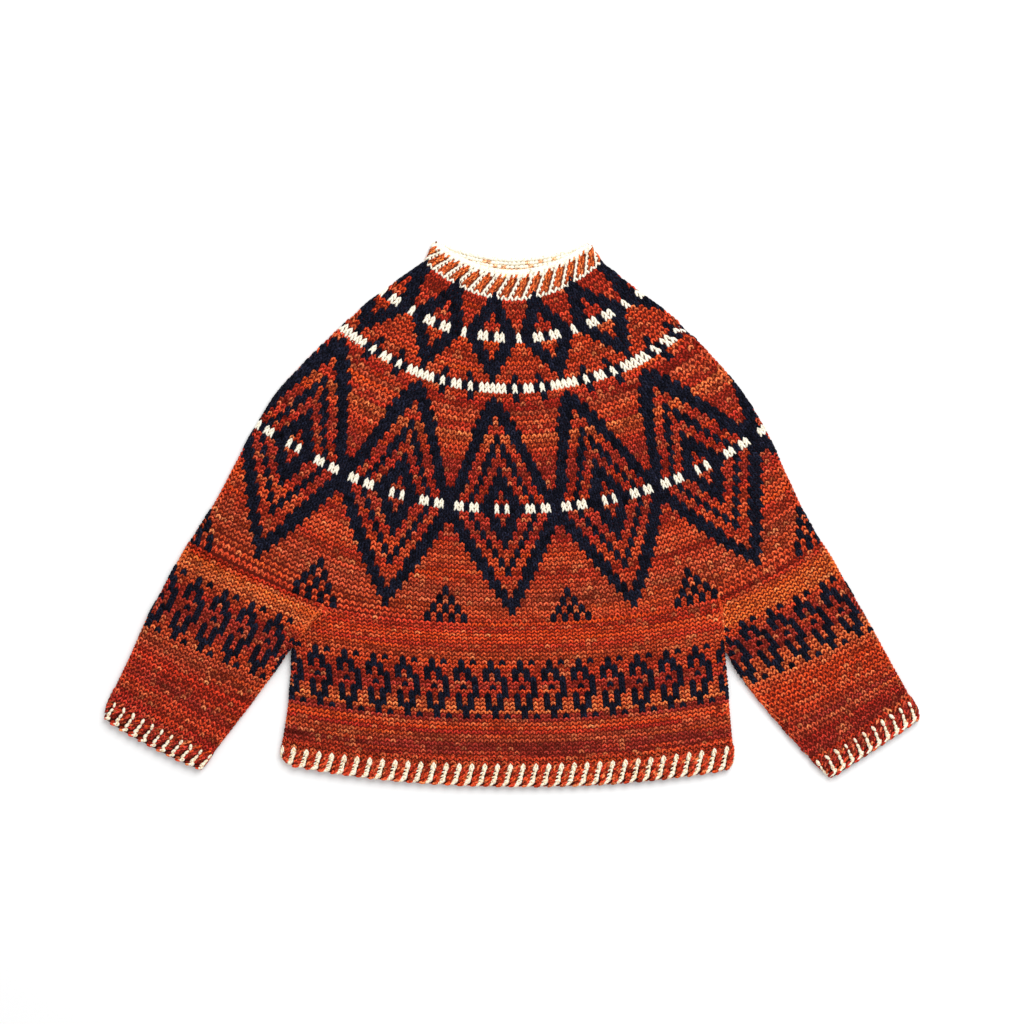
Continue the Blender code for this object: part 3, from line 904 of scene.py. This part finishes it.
def bandPlan(chart, shades, counts, start=0):
    plan = []
    lastRow = chart["rows"][-1][0]
    distances = rowDistances(chart, lastRow)
    for row in range(lastRow):
        perRepeat = along(counts, row)
        count = int(round(perRepeat * chart["repeats"]))

        def painter(turns, count, row=row, perRepeat=perRepeat):
            ground = groundYarn(shades, row - start, count)
            return dyed(ground, hookCodes(row, turns, perRepeat, chart))

        raised = along(chart.get("raised", [(0, 0)]), row)
        plan.append((distances[row], distances[row + 1], count, raised, painter))
    return plan


# Ribs: slanting strands and beads of yarn, cream columns between rust ones

ribShades = {
    "neck": [(0, "gold"), (5, "copper")],
    "hem": [(0, "rust"), (1, "rust"), (4, "brick"), (8, "rust")],
    "cuff": [(0, "cherry"), (3, "wine"), (6, "cherry")],
}
strandTones = {"dark": 0.45, "rust": 1.0, "light": 1.3}


def yarnBead():
    deselect()
    bpy.ops.mesh.primitive_uv_sphere_add(segments=5, ring_count=5, radius=1,
                                         rotation=(math.radians(90), 0, 0))
    ball = bpy.context.object
    bpy.ops.object.transform_apply(location=False, rotation=True, scale=False)
    bpy.ops.object.mode_set(mode="EDIT")
    bpy.ops.mesh.select_all(action="SELECT")
    bpy.ops.transform.translate(value=(0, 0, -0.6))    # half sunk in the cloth
    bpy.ops.object.mode_set(mode="OBJECT")
    spots = np.array([corner.co[:] for corner in ball.data.vertices])
    faces = [list(face.vertices) for face in ball.data.polygons]
    bpy.data.objects.remove(ball, do_unlink=True)
    return spots, faces, spots, spots


bead = yarnBead()
strandNoise = {"lean": 0.12, "size": 0.08}


def strands(tube, chart, distance, turns, look, tones):
    # one strand at each place: look is its half width, half length, lean and height
    wide, long, lean, height = look
    chartStep = 0.02
    here = tube.points(distance, chart, turns)
    right = tube.points(distance, chart, turns + chartStep)
    left = tube.points(distance, chart, turns - chartStep)
    below = tube.points(distance + 1, chart, turns)
    across = unit(right - left)
    down = below - here
    down[:, 2] = np.clip(down[:, 2], -cloth["steepest"], cloth["steepest"])
    down = unit(down)
    outward = unit(np.cross(down, across))
    angle = (np.radians(lean) + seed.normal(size=len(turns)) * strandNoise["lean"])[:, None]
    size = (1 + seed.normal(size=len(turns)) * strandNoise["size"])[:, None]
    longWay = (down * np.cos(angle) + across * np.sin(angle)) * long * size * pixel
    wideWay = unit(np.cross(longWay, outward)) * wide * size * pixel
    deep = outward * wide * pixel
    return here + outward * height, -wideWay, longWay, deep, tones, np.zeros(len(turns))


def creamTones(count, tint=(1, 1, 1)):
    noise = 1 + seed.normal(size=count)[:, None] * mottling["cream"]
    return yarnShades["cream"] * yarnShades["creamBright"] * tint * noise


creamHead = {"drop": 6, "wide": 0.55, "long": 0.9}


def ribBand(name, tube, ribTube, chart, look, shades):
    # rows of plain stitches, then cream columns and rust ones made of strands
    ribs = chart["repeats"]
    turns = np.arange(ribs) - ribs / 2
    rows = []
    for row, distance in enumerate(look["plainRows"]):
        after = distance + look["plainDrop"]
        places = rowOfStitches(tube, chart, distance * pixel, after * pixel, ribs * 2)
        codes = np.zeros(ribs * 2, int)
        rows.append((*places[1:], *dyed(groundYarn(shades, row, ribs * 2), codes)))
    for distance in look["creamHeads"]:
        places = rowOfStitches(ribTube, chart, distance * pixel,
                               (distance + creamHead["drop"]) * pixel, ribs)
        rows.append((places[1], places[2] * creamHead["wide"],
                     places[3] * creamHead["long"], places[4],
                     creamTones(ribs, yarnShades["lowerCream"]), np.ones(ribs)))
    beads = []
    for kind, distance, shift, shape in look["strands"]:
        if kind == "cream":
            tones = creamTones(ribs, yarnShades["lowerCream"])
        else:
            tones = groundYarn(shades, distance / 4, ribs, 1.4)
            tones = tones * strandTones[kind]
        beads.append(strands(ribTube, chart, distance * pixel, turns + shift, shape, tones))
    return [joined(name + "_stitches", fullStitch, *stack(rows)),
            joined(name + "_strands", bead, *stack(beads))]


# kind, pixels down, share of a rib to the right, and the strand's shape
hemLook = {
    "plainRows": [-1.0, 3.2],
    "plainDrop": 4.6,
    "creamHeads": [6.6],
    "strands": [("cream", 12.6, 0.02, (1.7, 2.8, 8, 0.6)),
                ("cream", 16.6, -0.03, (1.5, 2.7, -14, 0.6)),
                ("cream", 20.4, -0.08, (1.7, 2.9, -6, 0.6)),
                ("cream", 24.0, -0.14, (2.1, 3.1, -20, 0.5)),
                ("cream", 26.6, -0.34, (1.8, 3.6, -56, 0.3)),
                ("cream", 15.4, -0.19, (0.9, 2.2, -58, 0.2)),
                ("cream", 19.4, -0.25, (0.9, 2.4, -58, 0.2)),
                ("cream", 23.0, -0.31, (1.0, 2.4, -58, 0.2))]
    + [(("rust", "dark", "light")[step % 3], 8.5 + 3.0 * step, 0.68 - 0.03 * step,
        (1.4, 2.7, -50, 0.2)) for step in range(6)]
    + [(("rust", "light", "dark")[step % 3], 9.5 + 3.0 * step, 0.52 - 0.03 * step,
        (1.4, 2.6, -40, 0.2)) for step in range(6)]
    + [(("dark", "rust", "rust")[step % 3], 8.5 + 3.0 * step, 0.34 - 0.03 * step,
        (1.3, 2.6, -46, 0.1)) for step in range(6)]
    + [("rust", 26.0, 0.36, (1.8, 3.2, -64, 0.4)), ("rust", 28.0, 0.26, (1.7, 3.6, -76, 0.4))],
}
cuffLook = {
    "plainRows": [-1.0, 3.6, 8.2, 12.8],
    "plainDrop": 5.0,
    "creamHeads": [],
    "strands": [("cream", 7.6, 0.0, (1.8, 3.4, 2, 0.7)),
                ("cream", 14.0, -0.10, (1.6, 2.9, -18, 0.6)),
                ("cream", 18.8, -0.22, (1.9, 3.2, -24, 0.7)),
                ("cream", 22.6, -0.20, (2.2, 3.2, -40, 0.6)),
                ("cream", 24.0, -0.46, (1.6, 3.2, -68, 0.4))]
    + [(("light", "dark", "rust")[step % 3], 4.0 + 2.9 * step, 0.62 - 0.05 * step,
        (1.3, 3.4, -48, 0.2)) for step in range(6)]
    + [(("dark", "rust", "light")[step % 3], 4.5 + 2.9 * step, 0.36 - 0.05 * step,
        (1.2, 3.2, -46, 0.1)) for step in range(6)]
    + [("rust", 23.0, 0.36, (1.8, 3.6, -66, 0.4)), ("light", 25.2, 0.30, (1.5, 3.4, -76, 0.4))],
}
neckLook = {
    "creamDrop": 4.7,       # pixels
    "firstRow": 7.0,
    "rows": 4,
    "plump": 0.5,
    "strandShifts": (0.32, 0.44, 0.56, 0.68),    # shares of a rib to the right
    "strandTones": (0.5, 1.1),
}


def neckRibs(tube, chart, shades):
    ribs = chart["repeats"]
    turns = np.arange(ribs) - ribs / 2
    drop = neckLook["creamDrop"] * pixel
    rows, beads = [], []
    for row in range(neckLook["rows"] + 1):
        distance = neckLook["firstRow"] * pixel + row * drop
        last = row == neckLook["rows"]
        places = rowOfStitches(tube, chart, distance, distance + drop, ribs * 2)
        keep = (np.arange(ribs * 2) % 2 == 0) | last
        kept = [part[keep] for part in places]
        rows.append((kept[1], kept[2], kept[3], kept[4],
                     creamTones(keep.sum()), np.full(keep.sum(), neckLook["plump"])))
        for index, shift in enumerate(neckLook["strandShifts"]):
            for half in (0, 0.5):
                if last and (index in (1, 2) or half):
                    continue
                tones = groundYarn(shades, row, ribs, 1.5)
                tones = tones * neckLook["strandTones"][int(index + row + 2 * half) % 2]
                beads.append(strands(tube, chart, distance + half * drop, turns + shift,
                                     (1.1, 2.6, -12 + 24 * half, 0.2), tones))
    return [joined("neck_stitches", fullStitch, *stack(rows)),
            joined("neck_strands", bead, *stack(beads))]


tips = {
    "rows": [(-3.4, 1.0), (-7.6, 0.8)],    # distance below the neck seam, and width
    "drop": 4.6,
    "stitches": 80,
    "lift": 1.1,
}


def neckTips(tube):
    # the small lozenges' points run up over the neck's last rows
    rows = []
    for distance, width in tips["rows"]:
        turns, here, across, down, outward = rowOfStitches(
            tube, yokeChart, distance, distance + tips["drop"], tips["stitches"], tips["lift"])
        tip = np.abs(turns - np.round(turns)) < 0.01
        count = tip.sum()
        rows.append((here[tip], across[tip] * width, down[tip], outward[tip],
                     np.tile(yarnShades["navy"], (count, 1)), -np.ones(count)))
    return joined("neck_tip_stitches", fullStitch, *stack(rows))


seamBead = {
    "apart": 3.4,
    "long": 3.6,
    "wide": 2.3,
    "deep": 2.6,
    "lean": 0.5,
}


def seamBeads(name, line, shades):
    # a chain of beads along a line of the photograph, with its height in millimetres
    heights = [spot[2] for spot in line]
    line = fromPhoto([spot[:2] for spot in line])
    gone = np.concatenate([[0], np.cumsum(np.linalg.norm(np.diff(line, axis=0), axis=1))])
    count = int(gone[-1] / seamBead["apart"])
    place = np.linspace(0, gone[-1], count)
    here = np.stack([np.interp(place, gone, line[:, 0]), np.interp(place, gone, line[:, 1]),
                     np.interp(place, gone, heights)], axis=1)
    way = unit(np.gradient(here, axis=0))
    lean = np.where(np.arange(count) % 2, seamBead["lean"], -seamBead["lean"])[:, None]
    side = np.stack([way[:, 1], -way[:, 0], way[:, 2]], axis=1)
    longWay = unit(way + side * lean) * seamBead["long"]
    wideWay = unit(np.cross(longWay, [0, 0, 1.0])) * seamBead["wide"]
    deep = np.tile([0, 0, seamBead["deep"]], (count, 1))
    return joined(name, bead, here, -wideWay, longWay, deep,
                  groundYarn(shades, 0, count), np.zeros(count))


rim = {
    "around": 280,
    "sides": 8,
    "inset": 2.8,
    "below": 3.4,           # millimetres from the cloth's end to the rim's middle
    "radius": 4.2,
    "height": 2.7,
    "lobes": 72,
    "lobe": (2.5, 3.1, -10, 0.3),
    "lobeBelow": 6.6,       # pixels
    "backRadius": 2.0,
    "backUp": 1.6,
    "ripple": 0.07,
    "insideInset": 3.4,
    "insideBeads": 68,
    "insideBead": (2.0, 2.9, 84, 0),
    "insideRows": [1.8, 5.6, 9.4, 13.2],
    "rustPatch": (513.5, 14),    # pixels: its middle and its half width
    "rustShare": 0.1,       # of single beads in the middle rows
    "rust": (222, 150, 108),
    "insideSunk": 0.9,
}


def neckRim(chart):
    # one thick cream cord of slip stitches round the opening
    tube = Tube(neckRows, rim["inset"])
    deselect()
    bpy.ops.mesh.primitive_torus_add(major_segments=rim["around"],
                                     minor_segments=rim["sides"],
                                     major_radius=2, minor_radius=1)
    ringPiece = bpy.context.object
    ringPiece.name = "neck_rim"
    ringPiece.data.name = "neck_rim"
    path = tube.ring(tube.stepAt(rim["below"]))
    path = np.concatenate([path, path[:1]])
    arc = np.concatenate([[0], np.cumsum(np.linalg.norm(np.diff(path, axis=0), axis=1))])
    spots = np.array([corner.co[:] for corner in ringPiece.data.vertices])
    roundTurn = np.arctan2(spots[:, 1], spots[:, 0])
    share = (roundTurn / (2 * math.pi)) % 1
    away = np.hypot(spots[:, 0], spots[:, 1]) - 2
    place = share * arc[-1]

    def at(where):
        where = where % arc[-1]
        return np.stack([np.interp(where, arc, path[:, axis]) for axis in range(3)], axis=1)

    middle = at(place)
    way = at(place + 2.0) - at(place - 2.0)
    way[:, 2] = 0
    way = unit(way + [1e-6, 0, 0])
    side = np.stack([way[:, 1], -way[:, 0], np.zeros(len(way))], axis=1)
    # 0 where the rim lies on the back layer, 1 on the front one
    front = np.clip((middle[:, 2] - 1.5) / (cloth["loft"] - 3), 0, 1)
    side[front < 0.5] *= -1
    ripple = 1 + rim["ripple"] * np.cos(share * 2 * math.pi * rim["lobes"])
    wide = (rim["backRadius"] + (rim["radius"] - rim["backRadius"]) * front) * ripple
    placed = middle + side * (away * wide)[:, None]
    placed[:, 1] += rim["backUp"] * (1 - front)
    placed[:, 2] += spots[:, 2] * rim["height"] * ripple
    placed[:, 2] = np.maximum(placed[:, 2], cloth["lowest"])
    placed = (placed - [*cloth["centre"], 0]) * mm
    ringPiece.data.vertices.foreach_set("co", placed.ravel())
    bpy.ops.object.mode_set(mode="EDIT")
    bpy.ops.mesh.select_all(action="SELECT")
    bpy.ops.mesh.normals_make_consistent(inside=False)
    bpy.ops.object.mode_set(mode="OBJECT")
    bpy.ops.object.shade_smooth()
    paint(ringPiece.data, creamTones(len(spots)))
    ringPiece.data.materials.append(woolYarn)
    lobeChart = dict(chart, repeats=rim["lobes"], width=[(0, 5.5), (30, 5.6)])
    turns = np.arange(rim["lobes"]) - rim["lobes"] / 2
    lobes = strands(Tube(neckRows), lobeChart, rim["lobeBelow"] * pixel, turns, rim["lobe"],
                    creamTones(rim["lobes"]))
    return [ringPiece, joined("neck_rim_lobes", bead, *lobes)]


def neckInside(chart):
    # the inner face of the back neck, seen above the front rim
    tube = Tube(neckRows, rim["insideInset"])
    count = rim["insideBeads"]
    insideChart = dict(chart, repeats=count, width=[(0, 5.4), (30, 5.6)])
    rows = []
    for row, distance in enumerate(rim["insideRows"]):
        turns = np.arange(count) - count / 2 + 0.5 * (row % 2)
        places = strands(tube, insideChart, distance * pixel, turns, rim["insideBead"],
                         creamTones(count))
        here, wideWay, longWay, deep, tones, plump = places
        inner = deep[:, 2] < 0
        rust = seed.random(count) < (rim["rustShare"] if row in (1, 2) else 0)
        if row == 3:
            middle, half = rim["rustPatch"]
            rust = np.abs(here[:, 0] / pixel + photoMiddle[0] - middle) < half
        tones[rust] = colour(*rim["rust"])
        sunk = here - deep * rim["insideSunk"]
        rows.append([part[inner] for part in (sunk, -wideWay, longWay, -deep, tones, plump)])
    return joined("neck_inside_beads", bead, *stack(rows))


print("laying stitches")
madePieces = {}
yokeTube = Tube(yokeRows)
madePieces["yoke"] = layStitches("yoke_stitches", yokeTube, yokePlan(), yokeChart)
bodyTube = Tube(bodyRows, top=(cloth["leftUnderarm"], cloth["rightUnderarm"]))
print("yoke down the front", round(yokeTube.length, 1), "body", round(bodyTube.length, 1))
madePieces["body"] = layStitches("body_stitches", bodyTube,
                                 bandPlan(bodyChart, bodyShades, [(0, 5), (34, 5)]),
                                 bodyChart)
leftTube = Tube(leftSleeveRows, liftedEnd="right", top=(0.0, cloth["leftUnderarm"]))
rightTube = Tube(rightSleeveRows, liftedEnd="left", top=(cloth["rightUnderarm"], 1.0))
print("sleeves", round(leftTube.length, 1), round(rightTube.length, 1))
for side, tube, chart, shades in (("left", leftTube, leftSleeveChart, leftSleeveShades),
                                  ("right", rightTube, rightSleeveChart, rightSleeveShades)):
    first = chart["firstHook"]
    counts = [(0, 5), (first + 15, 5), (first + 16, 4.8), (first + 32, 4.1)]
    madePieces["sleeve_" + side] = layStitches("sleeve_" + side + "_stitches", tube,
                                               bandPlan(chart, shades, counts, first), chart)

hemChart = {"repeats": 70, "width": [(0, 12.75), (40, 12.75)], "axis": [(0, 511), (40, 508)]}
hemTube = Tube(hemRows)
madePieces["hem_band"] = ribBand("hem", hemTube, hemTube, hemChart, hemLook, ribShades["hem"])

neckChart = {"repeats": 34, "width": [(0, 11.6), (30, 13.4)], "axis": [(0, 512), (30, 497)]}
madePieces["neckband"] = neckRibs(Tube(neckRows), neckChart, ribShades["neck"])
madePieces["neckband"] += neckRim(neckChart) + [neckInside(neckChart), neckTips(yokeTube)]
seams = {
    "sleeve_right": [("right_underarm_beads", "flame",
                      [(718, 596, 6.0), (721, 608, 6.0), (723, 622, 6.0), (724.8, 636, 6.0),
                       (725.5, 650, 6.0)])],
    "sleeve_left": [("left_underarm_beads", "brick",
                     [(317, 603.5, 8.2), (321, 605.5, 8.2), (325, 608, 8.2), (328, 610.5, 8.2),
                      (325.5, 613, 8.2), (322.5, 610, 8.4)]),
                    # beads along the left sleeve's fold edge: real relief of yarn, and their
                    # lighter clay colour is a painted highlight of the lit edge
                    ("left_fold_highlight_beads", "clay",
                     [(323, 606, 10.5), (312.8, 620.5, 14.8), (303, 632, 15.0),
                      (298, 639, 13.5)])],
}
for node, lines in seams.items():
    for name, shade, line in lines:
        madePieces[node].append(seamBeads(name, line, [(0, shade)]))

for side, rows, ribRows, axis in (
        ("left", leftCuffRows, leftRibRows, [(0, 166), (24, 157)]),
        ("right", rightCuffRows, rightCuffRows, [(0, 859), (24, 871)])):
    cuffChart = {"repeats": 20, "width": [(0, 11.0), (24, 10.6)], "axis": axis}
    madePieces["cuff_" + side] = ribBand("cuff_" + side, Tube(rows), Tube(ribRows), cuffChart,
                                         cuffLook, ribShades["cuff"])
print("ribs laid")

# What each stretch of cloth is cut to, in metres: width all round, length, and area
# dark tints of the ground cloth: painted shade seen in the holes between the stitches
clothShadeTints = {"wool_ground": (84, 22, 14), "wool_rib": (62, 18, 12)}
cuts = {
    # a cut's own tint is painted shade too, less dark under the neck ribs
    "neckband": {"rows": neckRows, "columns": 120, "down": 8, "flat": (0.43, 0.036),
                 "area": 0.0139, "tint": (110, 48, 30), "slot": "wool_rib"},
    "yoke": {"rows": yokeRows, "columns": 180, "down": 44, "flat": (1.52, 0.42),
             "area": 0.423, "slot": "wool_ground"},
    "body": {"rows": bodyRows, "columns": 180, "down": 24, "flat": (1.02, 0.16),
             "area": 0.158, "slot": "wool_ground",
             "top": (cloth["leftUnderarm"], cloth["rightUnderarm"])},
    "hem_band": {"rows": hemRows, "columns": 180, "down": 8, "flat": (1.03, 0.038),
                 "area": 0.037, "slot": "wool_rib"},
    "sleeve_left": {"rows": leftSleeveRows, "columns": 90, "down": 30,
                    "flat": (0.36, 0.20), "area": 0.0605,
                    "slot": "wool_ground", "top": (0.0, cloth["leftUnderarm"])},
    "sleeve_right": {"rows": rightSleeveRows, "columns": 90, "down": 30,
                     "flat": (0.36, 0.20), "area": 0.0615,
                     "slot": "wool_ground", "top": (cloth["rightUnderarm"], 1.0),
                     "liftedEnd": "left"},
    "cuff_left": {"rows": leftCuffRows, "columns": 72, "down": 6, "flat": (0.28, 0.036),
                  "area": 0.0091, "slot": "wool_rib"},
    "cuff_right": {"rows": rightCuffRows, "columns": 72, "down": 6, "flat": (0.28, 0.036),
                   "area": 0.0083, "slot": "wool_rib"},
}
for node, cut in cuts.items():
    tint = colour(*cut.get("tint", clothShadeTints[cut["slot"]]))
    ground = groundCloth(node + "_cloth", cut["rows"], cut["columns"], cut["down"], tint,
                         cut.get("liftedEnd", "right"), cut.get("top"))
    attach(ground, "root")
    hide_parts(node)
    for piece in madePieces[node]:
        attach(piece, "root")
    print(node, "laid")

# Room, in metres: white floor, camera straight above, soft light from the upper right

room = {
    "floor": 6.0,
    "floorHeight": -0.0004,
    "white": (0.88, 0.88, 0.88),
    "lampSize": 2.2,
    "lampPower": 66,
    "lampPlace": (0.9, 1.5, 2.2),
    "glow": 0.78,
    "height": 2.8,          # the camera's, and the point that it looks down on
    "middle": (0.0003, 0.0010),
    "lens": 85.6,
}
deselect()
bpy.ops.mesh.primitive_plane_add(size=room["floor"], location=(0, 0, room["floorHeight"]))
floor = bpy.context.object
floor.name = "floor"
paper = Finish("white paper", 0.9)
paper.shader.inputs["Base Color"].default_value = (*room["white"], 1)
floor.data.materials.append(paper.material)

lamp = bpy.data.lights.new("softbox", "AREA")
lamp.shape = "DISK"
lamp.size = room["lampSize"]
lamp.energy = room["lampPower"]
softbox = bpy.data.objects.new("softbox", lamp)
softbox.location = room["lampPlace"]
softbox.rotation_euler = (-softbox.location).to_track_quat("-Z", "Y").to_euler()
bpy.context.scene.collection.objects.link(softbox)

world = bpy.data.worlds.new("soft white room")
world.use_nodes = True
background = world.node_tree.nodes["Background"]
background.inputs["Color"].default_value = (1, 1, 1, 1)
background.inputs["Strength"].default_value = room["glow"]
bpy.context.scene.world = world
bpy.context.scene.view_settings.view_transform = "Standard"

lens = bpy.data.cameras.new("camera")
lens.lens = room["lens"]
lens.sensor_width = 36
lens.clip_end = 50
camera = bpy.data.objects.new("camera", lens)
camera.location = (*room["middle"], room["height"])
bpy.context.scene.collection.objects.link(camera)
bpy.context.scene.camera = camera
